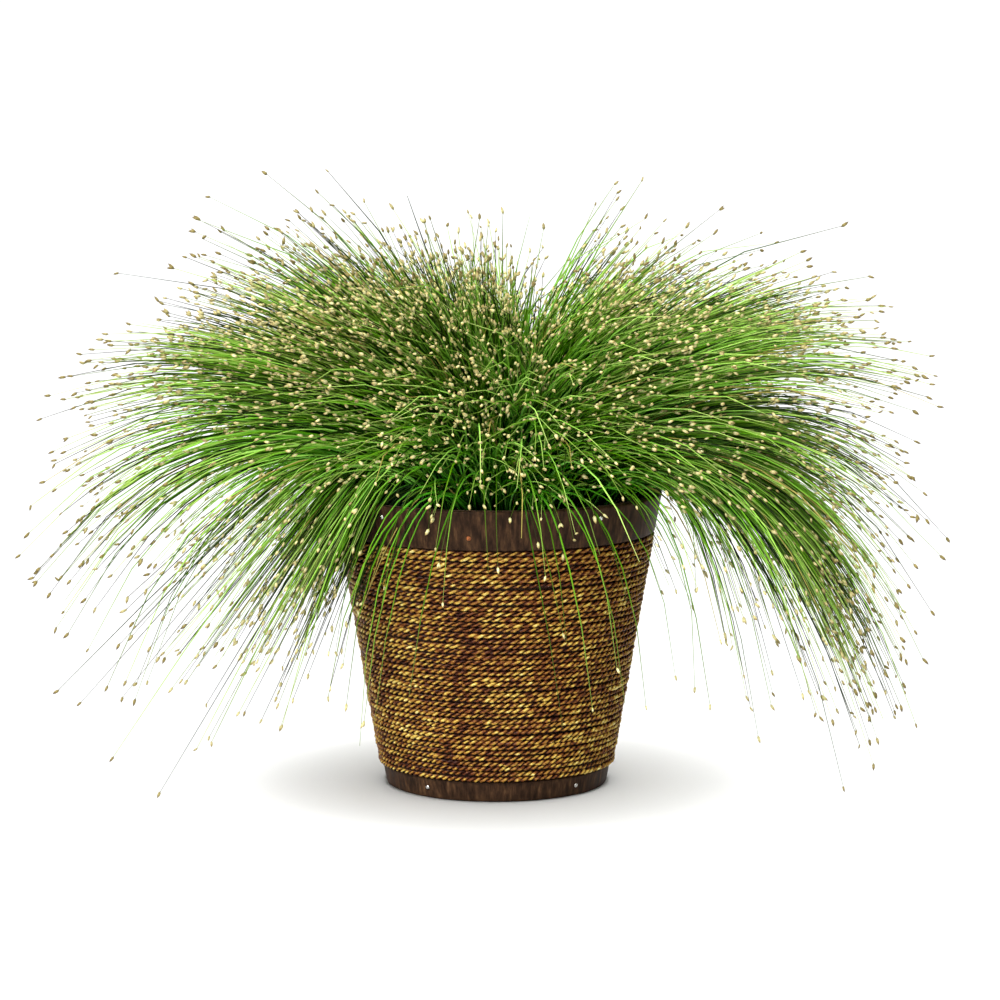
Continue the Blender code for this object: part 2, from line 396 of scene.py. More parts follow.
@dataclass(frozen=True)
class PottingMix(Finish):
    """Peat and bark mix: near black when moist, with lighter crumbs."""

    name: str = "moist potting mix"
    roughness: float = 0.95

    def surface(self, tree: bpy.types.NodeTree, shader: bpy.types.Node) -> None:
        """Crumbs of about 2.5 mm.

        Args:
            tree: The material's nodes.
            shader: Its Principled BSDF.
        """
        # Moist crumbs are near black and have no gleam
        place = add_node(tree, "ShaderNodeTexCoord")
        inputs = {"Vector": place.outputs["Object"], "Scale": 1 / (2.5 * MM), "Detail": 4.0, "Roughness": 0.7}
        stops = ((0.35, "120b07"), (0.55, "2c1d13"), (0.68, "4b3524"), (0.8, "6d5238"))
        self.mottle(tree, shader, stops, inputs, (0.8, 0.8 * MM))


@dataclass(frozen=True)
class NailHead(Finish):
    """Plated steel nail head, stamped and tumbled bright, or dulled by rust."""

    name: str = "plated steel nail"
    roughness: float = 0.25
    colours: tuple[str, str] = ("b9b7b2", "e9e7e2")
    metallic: float = 1.0

    def surface(self, tree: bpy.types.NodeTree, shader: bpy.types.Node) -> None:
        """Tarnish varies over about a millimetre.

        Args:
            tree: The material's nodes.
            shader: Its Principled BSDF.
        """
        # Plating gives a bright point, and rust a dull orange one
        place = add_node(tree, "ShaderNodeTexCoord")
        inputs = {"Vector": place.outputs["Object"], "Scale": 1 / (1 * MM), "Detail": 2.0}
        self.mottle(tree, shader, ((0.35, self.colours[0]), (0.65, self.colours[1])), inputs)
        shader.inputs["Metallic"].default_value = self.metallic


@dataclass(frozen=True)
class StudioFloor(Finish):
    """Painted background board: matt and white, with no gloss to mirror the planter."""

    name: str = "matt white painted board"
    roughness: float = 0.9
    gloss: float = 0.0

    def surface(self, tree: bpy.types.NodeTree, shader: bpy.types.Node) -> None:
        """A plain pale colour, all over.

        Args:
            tree: The material's nodes, not used here.
            shader: Its Principled BSDF.
        """
        # White paint gives a bright ground with no reflection
        shader.inputs["Base Color"].default_value = linear("dcdcdc")


class Tree:
    """A Geometry Nodes tree under construction, with its named inputs."""

    def __init__(self, name: str, inputs: dict[str, str]) -> None:
        """Starts a tree with one geometry input and output.

        Args:
            name: The tree's name.
            inputs: Further inputs, as name to socket type.
        """
        self.group = bpy.data.node_groups.new(name, "GeometryNodeTree")
        face = self.group.interface
        face.new_socket("Geometry", in_out="INPUT", socket_type="NodeSocketGeometry")
        face.new_socket("Geometry", in_out="OUTPUT", socket_type="NodeSocketGeometry")
        for label, kind in inputs.items():
            face.new_socket(label, in_out="INPUT", socket_type=kind)
        self.start = self.add("NodeGroupInput").outputs

    def add(self, kind: str, inputs: dict | None = None, **settings: Any) -> bpy.types.Node:
        """Adds a node to the tree."""
        return add_node(self.group, kind, inputs, **settings)

    def read(self, name: str, data_type: str = "FLOAT") -> bpy.types.NodeSocket:
        """Returns a named attribute's field."""
        node = self.add("GeometryNodeInputNamedAttribute", {"Name": name}, data_type=data_type)
        return node.outputs["Attribute"]

    def close(self, geometry: bpy.types.NodeSocket) -> None:
        """Stores the bake map from tone, section and along, shades smooth, realizes and sets the material.

        Args:
            geometry: The mesh or instances to end with.
        """
        real = self.add("GeometryNodeRealizeInstances", {"Geometry": geometry})
        inputs = {0: self.read("section"), 1: BAKE_SECTION}
        around = self.add("ShaderNodeMath", inputs, operation="MULTIPLY")
        inputs = {0: self.read("tone"), 1: BAKE_TONE, 2: around.outputs[0]}
        across = self.add("ShaderNodeMath", inputs, operation="MULTIPLY_ADD")
        place = self.add("ShaderNodeCombineXYZ", {"X": across.outputs[0], "Y": self.read("along")})
        inputs = {"Geometry": real.outputs[0], "Name": BAKE_MAP, "Value": place.outputs[0]}
        stored = self.add("GeometryNodeStoreNamedAttribute", inputs, data_type="FLOAT2", domain="CORNER")
        smooth = self.add("GeometryNodeSetShadeSmooth", {"Geometry": stored.outputs[0]})
        inputs = {"Geometry": smooth.outputs[0], "Material": self.start["Finish"]}
        done = self.add("GeometryNodeSetMaterial", inputs)
        self.add("NodeGroupOutput", {"Geometry": done.outputs[0]})


def strand_tree() -> bpy.types.NodeTree:
    """Makes the tree that sweeps a round section along each chain of edges, as thick as its attribute says.

    Returns:
        The tree.
    """
    tree = Tree(
        "swept strands",
        {"Sides": "NodeSocketInt", "Closed Ends": "NodeSocketBool", "Finish": "NodeSocketMaterial"},
    )
    lines = tree.add("GeometryNodeMeshToCurve", {"Mesh": tree.start["Geometry"]})
    ring = tree.add("GeometryNodeCurvePrimitiveCircle", {"Resolution": tree.start["Sides"], "Radius": 1.0})
    step = tree.add("GeometryNodeInputIndex")
    part = tree.add("ShaderNodeMath", {0: step.outputs[0], 1: tree.start["Sides"]}, operation="DIVIDE")
    inputs = {"Geometry": ring.outputs[0], "Name": "section", "Value": part.outputs[0]}
    marked = tree.add("GeometryNodeStoreNamedAttribute", inputs, data_type="FLOAT", domain="POINT")
    inputs = {
        "Curve": lines.outputs[0],
        "Profile Curve": marked.outputs[0],
        "Scale": tree.read("thickness"),
        "Fill Caps": tree.start["Closed Ends"],
    }
    swept = tree.add("GeometryNodeCurveToMesh", inputs)
    tree.close(swept.outputs[0])
    return tree.group


def scatter_tree() -> bpy.types.NodeTree:
    """Makes the tree that sets a copy of one shape on each point, turned and scaled by its attributes.

    Returns:
        The tree.
    """
    tree = Tree("shapes set on points", {"Shape": "NodeSocketObject", "Finish": "NodeSocketMaterial"})
    shape = tree.add("GeometryNodeObjectInfo", {"Object": tree.start["Shape"]})
    facing = tree.read("facing", "FLOAT_VECTOR")
    turned = tree.add("FunctionNodeAlignRotationToVector", {"Vector": facing}, axis="Z")
    inputs = {
        "Points": tree.start["Geometry"],
        "Instance": shape.outputs["Geometry"],
        "Rotation": turned.outputs[0],
        "Scale": tree.read("size", "FLOAT_VECTOR"),
    }
    placed = tree.add("GeometryNodeInstanceOnPoints", inputs)
    tree.close(placed.outputs[0])
    return tree.group


def grown(
    name: str, mesh: bpy.types.Mesh, tree: bpy.types.NodeTree, values: dict[str, Any]
) -> bpy.types.Object:
    """Runs a Geometry Nodes tree on a mesh and returns its result as a plain mesh object.

    Args:
        name: The finished piece's name.
        mesh: The tree's input.
        tree: The Geometry Nodes tree.
        values: The modifier's inputs by name.

    Returns:
        The finished piece, with no modifier.
    """
    source = mesh_object(name + "_source", mesh)
    modifier = source.modifiers.new("Grow", "NODES")
    modifier.node_group = tree
    for item in tree.interface.items_tree:
        if item.in_out == "INPUT" and item.name in values:
            modifier[item.identifier] = values[item.name]
    bpy.context.view_layer.update()
    result = bpy.data.meshes.new_from_object(source.evaluated_get(bpy.context.evaluated_depsgraph_get()))
    result.name = name
    bpy.data.objects.remove(source)
    for label in ("section", "tone", "along", "thickness", "facing", "size"):
        if label in result.attributes:
            result.attributes.remove(result.attributes[label])
    return mesh_object(name, result)


def chains(name: str, points: Array, attributes: dict[str, Array]) -> bpy.types.Mesh:
    """Makes a mesh of separate chains of edges.

    Args:
        name: The mesh's name.
        points: Chains by points by 3.
        attributes: Values per point, chains by points.

    Returns:
        The mesh, with its attributes.
    """
    count, length = points.shape[:2]
    mesh = bpy.data.meshes.new(name)
    first = np.arange(count * length).reshape(count, length)
    edges = np.stack((first[:, :-1], first[:, 1:]), -1).reshape(-1, 2)
    mesh.vertices.add(count * length)
    mesh.vertices.foreach_set("co", points.astype(np.float32).ravel())
    mesh.edges.add(len(edges))
    mesh.edges.foreach_set("vertices", edges.astype(np.int32).ravel())
    for label, values in attributes.items():
        layer = mesh.attributes.new(label, "FLOAT", "POINT")
        layer.data.foreach_set("value", values.astype(np.float32).ravel())
    mesh.update()
    return mesh


def dots(name: str, points: Array, facing: Array, size: Array, tone: Array) -> bpy.types.Mesh:
    """Makes a mesh of loose points, each for one copy of a shape.

    Args:
        name: The mesh's name.
        points: Where each copy stands.
        facing: The way that its top points.
        size: Its scale in three directions.
        tone: Its tone, from 0 to 1.

    Returns:
        The mesh, with its attributes.
    """
    mesh = bpy.data.meshes.new(name)
    mesh.vertices.add(len(points))
    mesh.vertices.foreach_set("co", points.astype(np.float32).ravel())
    for label, values in (("facing", facing), ("size", size)):
        layer = mesh.attributes.new(label, "FLOAT_VECTOR", "POINT")
        layer.data.foreach_set("vector", values.astype(np.float32).ravel())
    layer = mesh.attributes.new("tone", "FLOAT", "POINT")
    layer.data.foreach_set("value", tone.astype(np.float32).ravel())
    mesh.update()
    return mesh


def turned_shape(name: str, profile: Sequence[tuple[float, float]], sides: int) -> bpy.types.Object:
    """Turns a small profile of (radius, height) points round Z, from its low end to its high end.

    Args:
        name: The shape's name.
        profile: Points whose first and last lie on the axis.
        sides: Facets round the axis.

    Returns:
        An object that other pieces copy, with along and section on its points.
    """
    rings = profile[1:-1]
    angles = np.arange(sides) * math.tau / sides
    verts = [(0, 0, profile[0][1])]
    verts += [(r * math.cos(a), r * math.sin(a), z) for r, z in rings for a in angles]
    verts.append((0, 0, profile[-1][1]))
    last = len(verts) - 1
    faces = [(0, 1 + (i + 1) % sides, 1 + i) for i in range(sides)]
    for row in range(len(rings) - 1):
        for i in range(sides):
            low, low_next = 1 + row * sides + i, 1 + row * sides + (i + 1) % sides
            faces.append((low, low_next, low_next + sides, low + sides))
    top = 1 + (len(rings) - 1) * sides
    faces += [(top + i, top + (i + 1) % sides, last) for i in range(sides)]
    mesh = bpy.data.meshes.new(name)
    mesh.from_pydata(verts, [], faces)
    low, high = profile[0][1], profile[-1][1]
    along = [(v[2] - low) / (high - low) for v in verts]
    section = [0.5] + [i / sides for _ in rings for i in range(sides)] + [0.5]
    for label, values in (("along", along), ("section", section)):
        layer = mesh.attributes.new(label, "FLOAT", "POINT")
        layer.data.foreach_set("value", np.array(values, np.float32))
    return mesh_object(name, mesh)


@dataclass(frozen=True)
class Taper:
    """The planter's straight outer side."""

    foot_radius: float
    foot_height: float
    rim_radius: float
    rim_height: float

    @classmethod
    def of_frame(cls) -> Taper:
        """Reads the taper off the two bands, at their rounded upper edges."""
        foot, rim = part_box("foot_band")[1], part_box("rim_band")[1]
        return cls(foot.x, foot.z - EDGE_ROUNDING, rim.x, rim.z - EDGE_ROUNDING)

    def radius(self, height: float | Array) -> float | Array:
        """Outer radius at a height."""
        rise = (height - self.foot_height) / (self.rim_height - self.foot_height)
        return self.foot_radius + (self.rim_radius - self.foot_radius) * rise


def ripple(rng: np.random.Generator, x: Array, waves: Sequence[int], size: float) -> Array:
    """Smooth random change round a circle.

    Args:
        rng: Source of phases and strengths.
        x: Angles in radians.
        waves: How many waves fit round the circle, one for each part.
        size: The rough height of the result.

    Returns:
        The change at each angle.
    """
    total = np.zeros_like(x)
    for count in waves:
        total += rng.normal(0, 1) * np.sin(count * x + rng.uniform(0, math.tau))
    return total * size / math.sqrt(len(waves))


def ring_mesh(
    name: str, section: Array, steps: int, shift: Callable[[Array, Array], Array]
) -> bpy.types.Mesh:
    """Turns a closed section round Z and moves its points in or out.

    Args:
        name: The mesh's name.
        section: (radius, height) points, down the outside and up the inside.
        steps: Facets round the axis.
        shift: Takes angles and section indexes and returns how far out each point moves.

    Returns:
        A closed ring with its faces outwards.
    """
    count = len(section)
    angles = np.arange(steps) * math.tau / steps
    turn, row = np.meshgrid(angles, np.arange(count), indexing="ij")
    radius = section[row, 0] + shift(turn, row)
    co = np.stack((radius * np.cos(turn), radius * np.sin(turn), section[row, 1]), -1)
    i, j = np.meshgrid(np.arange(steps), np.arange(count), indexing="ij")
    a, b = i * count + j, i * count + (j + 1) % count
    c, d = ((i + 1) % steps) * count + (j + 1) % count, ((i + 1) % steps) * count + j
    faces = np.stack((a, b, c, d), -1).reshape(-1, 4)
    mesh = bpy.data.meshes.new(name)
    mesh.from_pydata(co.reshape(-1, 3).tolist(), [], faces.tolist())
    mesh.shade_smooth()
    return mesh


@dataclass
class Planter:
    """The rope-wound planter: board body, two bark strips, their nails and the cord."""

    taper: Taper
    strands: bpy.types.NodeTree
    scatter: bpy.types.NodeTree
    steps: int = 240
    body_inset: float = 3.1 * MM
    wall: float = 3.0 * MM
    floor: float = 4.0 * MM
    strip_thickness: float = 2.8 * MM
    strip_wave: float = 0.12 * MM
    strip_rib: float = 0.06 * MM
    soil_mound: float = 4 * MM
    soil_crumb: float = 0.45 * MM
    soil_sunk: float = 0.6 * MM
    soil_inset: float = 6.4 * MM
    turns: int = 43
    cord_radius: float = 1.45 * MM
    ply_offset: float = 0.82 * MM
    ply_radius: float = 0.74 * MM
    ply_sides: int = 5
    twist: float = 7.9 * MM
    steps_a_twist: int = 5
    turn_sag: float = 0.26 * MM
    turn_bulge: float = 0.16 * MM
    slow_slack: float = 1.1
    quick_slack: float = 0.4
    uneven_ply: float = 0.17
    climbs: int = 12
    winding_pieces: int = 4
    proud_at_foot: float = 2.1 * MM
    proud_at_rim: float = 0.4 * MM
    seed: int = 21
    rng: np.random.Generator = field(init=False)

    def __post_init__(self) -> None:
        """Seeds the planter's own random numbers."""
        self.rng = np.random.default_rng(self.seed)

    def body(self) -> bpy.types.Object:
        """Tapered bucket with a flat floor, closed underneath.

        Returns:
            The dressed piece.
        """
        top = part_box("planter_body")[1].z
        edge = top - EDGE_ROUNDING
        lip = self.taper.radius(top) - self.body_inset
        inset = self.body_inset
        rings = [(self.taper.radius(z) - inset - self.wall, z) for z in np.linspace(self.floor, edge, 3)]
        rings += [(lip - self.wall + EDGE_ROUNDING, top), (lip - EDGE_ROUNDING, top)]
        rings += [(self.taper.radius(z) - inset, z) for z in np.linspace(edge, 0, 3)]
        rings = np.array(rings)
        angles = np.arange(self.steps // 2) * math.tau / (self.steps // 2)
        count, steps = len(rings), len(angles)
        co = np.stack(
            (
                np.outer(np.cos(angles), rings[:, 0]),
                np.outer(np.sin(angles), rings[:, 0]),
                np.tile(rings[:, 1], (steps, 1)),
            ),
            -1,
        ).reshape(-1, 3)
        verts = co.tolist() + [(0, 0, self.floor), (0, 0, 0)]
        faces = []
        for i in range(steps):
            k = (i + 1) % steps
            for j in range(count - 1):
                faces.append((i * count + j, i * count + j + 1, k * count + j + 1, k * count + j))
            faces.append((i * count, k * count, len(verts) - 2))
            faces.append((k * count + count - 1, i * count + count - 1, len(verts) - 1))
        mesh = bpy.data.meshes.new("planter_board")
        mesh.from_pydata(verts, [], faces)
        mesh.shade_smooth()
        mesh.set_sharp_from_angle(angle=math.radians(40))
        piece = mesh_object("planter_board", mesh)
        return dress(piece, PressedBoard().build(), ["planter_body"])

    def band(self, name: str, node: str, finish: bpy.types.Material) -> bpy.types.Object:
        """Bark strip with softly rounded edges and a slightly uneven face.

        Args:
            name: The piece's name.
            node: The CAD node that it replaces.
            finish: Its material.

        Returns:
            The dressed piece.
        """
        low, high = (corner.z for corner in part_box(node))
        corner = [math.radians(a) for a in (90, 60, 30, 0)]
        section = [
            (
                self.taper.radius(high) - EDGE_ROUNDING * (1 - math.cos(a)),
                high - EDGE_ROUNDING * (1 - math.sin(a)),
            )
            for a in corner
        ]
        face = np.linspace(high - 2 * EDGE_ROUNDING, low + 2 * EDGE_ROUNDING, 3)
        section += [(self.taper.radius(z), z) for z in face]
        section += [
            (
                self.taper.radius(low) - EDGE_ROUNDING * (1 - math.cos(a)),
                low + EDGE_ROUNDING * (1 - math.sin(a)),
            )
            for a in reversed(corner)
        ]
        section += [(self.taper.radius(z) - self.strip_thickness, z) for z in (low, high)]
        section = np.array(section)
        angles = np.arange(self.steps) * math.tau / self.steps
        waves = ripple(self.rng, angles, (5, 9, 14, 23), self.strip_wave)
        ribs = ripple(self.rng, angles, (61, 83, 97), self.strip_rib)
        outer = np.arange(len(section)) < len(section) - 2

        def shift(turn: Array, row: Array) -> Array:
            """Moves the outer face only, and never outwards past the taper by much."""
            step = np.rint(turn / math.tau * self.steps).astype(int) % self.steps
            return (waves[step] + ribs[step]) * outer[row]

        mesh = ring_mesh(name, section, self.steps, shift)
        mesh.set_sharp_from_angle(angle=math.radians(50))
        return dress(mesh_object(name, mesh), finish, [node])

    def winding(self) -> list[bpy.types.Object]:
        """Two plies twisted together and wound turn on turn; each turn lies level and steps up at the back.

        Returns:
            The dressed pieces, from the foot upwards.
        """
        low, high = (corner.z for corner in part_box("rope_winding"))
        pitch = (high - low) / self.turns
        middles = [low + (i + 0.5) * pitch for i in range(self.turns)]
        length = sum(math.tau * (self.taper.radius(z) - self.cord_radius) for z in middles)
        count = int(length / self.twist * self.steps_a_twist)
        turn = np.linspace(0, self.turns, count)
        whole, part = np.divmod(turn, 1)
        # A turn starts and ends at the back, where the last twelfth of it climbs to the next
        climb = np.clip((part - (self.climbs - 1) / self.climbs) * self.climbs, 0, 1)
        level = whole + climb**2 * (3 - 2 * climb)
        level = np.minimum(level, self.turns - 1)
        angle = math.pi / 2 + turn * math.tau

        def uneven(changes: int, middle: float, size: float) -> Array:
            """A value that changes at random this often in a turn."""
            knots = np.linspace(0, self.turns, self.turns * changes)
            return np.interp(turn, knots, self.rng.normal(middle, size, len(knots)))

        sag = uneven(9, 0, self.turn_sag)
        bulge = uneven(9, 0, self.turn_bulge)
        height = low + (level + 0.5) * pitch + sag
        height = np.clip(height, low + self.cord_radius * 0.9, high - self.cord_radius * 0.9)
        proud = np.interp(height, (low, high), (self.proud_at_foot, self.proud_at_rim))
        radius = self.taper.radius(height) + proud - self.cord_radius + bulge
        slack = uneven(9, 0, self.slow_slack)
        slack = slack + uneven(50, 0, self.quick_slack)
        fat = uneven(110, 1, self.uneven_ply)
        spin = math.tau * turn * length / self.turns / self.twist + slack
        # The cord's outer face line, from which the finish measures depth for its painted highlight and
        # painted shade
        face = (self.taper.radius(low) + self.proud_at_foot, self.taper.radius(high) + self.proud_at_rim)
        slope = (face[1] - face[0]) / (high - low)
        finish = TwistedCord(foot_radius=face[0] - slope * low, slope=slope).build()
        pieces = []
        edges = np.linspace(0, count - 1, self.winding_pieces + 1).astype(int)
        for number in range(self.winding_pieces):
            span = slice(edges[number], edges[number + 1] + 1)
            plies = []
            for side in (0, math.pi):
                out = self.ply_offset * np.cos(spin[span] + side)
                up = self.ply_offset * np.sin(spin[span] + side)
                reach = radius[span] + out
                x, y = reach * np.cos(angle[span]), reach * np.sin(angle[span])
                plies.append(np.stack((x, y, height[span] + up), -1))
            points = np.array(plies)
            thickness = np.broadcast_to(self.ply_radius * fat[span], points.shape[:2])
            name = f"cord_winding_{number + 1}"
            blank = np.zeros(points.shape[:2])
            mesh = chains(name, points, {"thickness": thickness, "tone": blank, "along": blank})
            values = {"Sides": self.ply_sides, "Closed Ends": True, "Finish": finish}
            piece = grown(name, mesh, self.strands, values)
            piece.data.uv_layers.remove(piece.data.uv_layers[BAKE_MAP])
            pieces.append(dress(piece, finish, ["rope_winding"]))
        return pieces

    def nails(self) -> list[bpy.types.Object]:
        """Round heads where the frame's nails are, turned to the planter's side.

        Returns:
            The bright nails as one piece and the rusty one as another.
        """
        head, tall, shank, depth = 1.2 * MM, 0.75 * MM, 0.5 * MM, 2.0 * MM
        point, lift = 0.3 * MM, 0.1 * MM
        profile = [(0, -depth), (shank, -depth + point), (shank, 0), (head, 0)]
        profile += [(head * math.cos(a), tall * math.sin(a)) for a in np.radians((20, 42, 64, 80))]
        profile.append((0, tall))
        shape = turned_shape("nail_shape", profile, 16)
        slope = math.atan2(
            self.taper.rim_radius - self.taper.foot_radius, self.taper.rim_height - self.taper.foot_height
        )
        groups = {
            "nails_bright": [f"rim_nail_{i}" for i in range(1, 5)] + [f"foot_nail_{i}" for i in range(1, 5)],
            "nail_rusty": ["rim_nail_low"],
        }
        finishes = {
            "nails_bright": NailHead(),
            "nail_rusty": NailHead("rusted steel nail", 0.6, colours=("6b3a1c", "b8672c"), metallic=0.3),
        }
        pieces = []
        for name, nodes in groups.items():
            points, facing = [], []
            for node in nodes:
                low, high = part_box(node)
                middle = (low + high) / 2
                angle = math.atan2(middle.y, middle.x)
                x, y = math.cos(angle), math.sin(angle)
                out = Vector((x * math.cos(slope), y * math.cos(slope), -math.sin(slope)))
                face = self.taper.radius(middle.z) + lift
                points.append((face * x, face * y, middle.z))
                facing.append(out)
            count = len(nodes)
            mesh = dots(name, np.array(points), np.array(facing), np.ones((count, 3)), np.zeros(count))
            finish = finishes[name].build()
            piece = grown(name, mesh, self.scatter, {"Shape": shape, "Finish": finish})
            piece.data.uv_layers.remove(piece.data.uv_layers[BAKE_MAP])
            pieces.append(dress(piece, finish, nodes))
        bpy.data.objects.remove(shape)
        return pieces

    def soil(self) -> bpy.types.Object:
        """Potting mix with a crumbly, slightly mounded top.

        Returns:
            The dressed piece.
        """
        low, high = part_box("soil")
        edge = high.x
        middle = high.z - self.soil_sunk
        rows, steps = 34, 120
        angles = np.arange(steps) * math.tau / steps
        share = np.linspace(1 / rows, 1, rows)
        radius = np.outer(np.ones(steps), share) * edge
        x, y = radius * np.cos(angles)[:, None], radius * np.sin(angles)[:, None]
        crumbs = sum(
            np.sin(x * a / MM + p) * np.sin(y * b / MM + q)
            for a, b, p, q in self.rng.uniform((0.4, 0.4, 0, 0), (1.9, 1.9, 6, 6), (9, 4))
        )
        rough = self.soil_crumb * crumbs * (share < 0.99)
        z = high.z - self.soil_mound * share**2 + rough - self.soil_sunk
        top = np.stack((x, y, z), -1).reshape(-1, 3)
        base = self.taper.radius(low.z) - self.soil_inset
        bottom = np.stack((base * np.cos(angles), base * np.sin(angles), np.full(steps, low.z)), -1)
        verts = top.tolist() + bottom.tolist() + [(0, 0, middle), (0, 0, low.z)]
        faces = []
        for i in range(steps):
            k = (i + 1) % steps
            faces.append((i * rows, k * rows, len(verts) - 2))
            for j in range(rows - 1):
                faces.append((i * rows + j, i * rows + j + 1, k * rows + j + 1, k * rows + j))
            faces.append((i * rows + rows - 1, steps * rows + i, steps * rows + k, k * rows + rows - 1))
            faces.append((steps * rows + i, len(verts) - 1, steps * rows + k))
        mesh = bpy.data.meshes.new("potting_mix")
        mesh.from_pydata(verts, [], faces)
        mesh.shade_smooth()
        mesh.set_sharp_from_angle(angle=math.radians(60))
        return dress(mesh_object("potting_mix", mesh), PottingMix().build(), ["soil"])


@dataclass(frozen=True)
class Growth:
    """How a layer grows. Lean 0 is upright, and lean 1 hangs over the rim."""

    lean_from: float
    lean_to: float
    locks: int
    stems: int
    points: int


class Layer(Enum):
    """Layers of stems, from the middle outwards."""

    CROWN = Growth(0.02, 0.2, 34, 9, 7)
    UPPER = Growth(0.2, 0.4, 104, 13, 7)
    MIDDLE = Growth(0.4, 0.6, 140, 20, 8)
    OUTER = Growth(0.6, 0.8, 90, 20, 10)
    SKIRT = Growth(0.8, 1.0, 24, 18, 11)

    @property
    def key(self) -> str:
        """The layer's word in the names of its CAD nodes."""
        return self.name.lower()


@dataclass(frozen=True)
class Habit:
    """How stems lead at the plant's sides, in millimetres, by how far they lean."""

    lean: tuple[float, ...]
    root: tuple[float, ...]
    rise_out: tuple[float, ...]
    rise_up: tuple[float, ...]
    shoulder_out: tuple[float, ...]
    shoulder_up: tuple[float, ...]
    tip_out: tuple[float, ...]
    tip_up: tuple[float, ...]
    loose: float = 0.04

    def at(self, lean: Array, name: str) -> Array:
        """Value of one column at these leans, in metres."""
        return np.interp(lean, self.lean, getattr(self, name)) * MM


class Way(Enum):
    """The ways that stems grow: most arch, some lie in falls or drapes, and a few hang over the rim."""

    ARCHING = Habit(
        lean=(0.0, 0.15, 0.3, 0.45, 0.6, 0.7, 0.8, 0.9, 1.0, 1.1),
        root=(3, 9, 16, 23, 32, 39, 47, 54, 61, 63),
        rise_out=(5, 15, 26, 38, 50, 58, 65, 71, 77, 80),
        rise_up=(190, 198, 204, 203, 196, 191, 187, 183, 178, 174),
        shoulder_out=(8, 34, 64, 104, 144, 166, 172, 158, 134, 116),
        shoulder_up=(238, 250, 257, 256, 242, 227, 207, 191, 178, 170),
        tip_out=(12, 66, 122, 184, 230, 246, 241, 210, 160, 130),
        tip_up=(278, 290, 288, 264, 218, 164, 110, 60, 26, 10),
    )
    FALLING = Habit(
        lean=(0.0, 1.0),
        root=(50, 62),
        rise_out=(88, 84),
        rise_up=(208, 200),
        shoulder_out=(193, 155),
        shoulder_up=(177, 142),
        tip_out=(240, 193),
        tip_up=(74, 10),
        loose=0.14,
    )
    DRAPED = Habit(
        lean=(0.0, 0.6, 1.0),
        root=(40, 52, 60),
        rise_out=(52, 60, 68),
        rise_up=(217, 198, 170),
        shoulder_out=(110, 88, 84),
        shoulder_up=(179, 171, 172),
        tip_out=(232, 162, 104),
        tip_up=(60, 48, 84),
        loose=0.15,
    )
    HANGING = Habit(
        lean=(0.0, 1.0),
        root=(50, 66),
        rise_out=(68, 78),
        rise_up=(184, 176),
        shoulder_out=(100, 112),
        shoulder_up=(190, 168),
        tip_out=(108, 100),
        tip_up=(132, 30),
    )


@dataclass(frozen=True)
class Lock:
    """One lock of stems, at an angle in degrees from +X, its stems darkened by its painted shade. Its lengths
    are shares of the habit's full one.
    """

    angle: float
    lean: float
    end: float
    stems: int
    fan: float = 0.10
    drift: float = 0.0
    short: float = 0.55
    way: Way = Way.ARCHING
    # Painted shade: how much darker its stems' tone is, where the tuft shades itself; below zero it lightens
    # them
    shade: float = 0.0


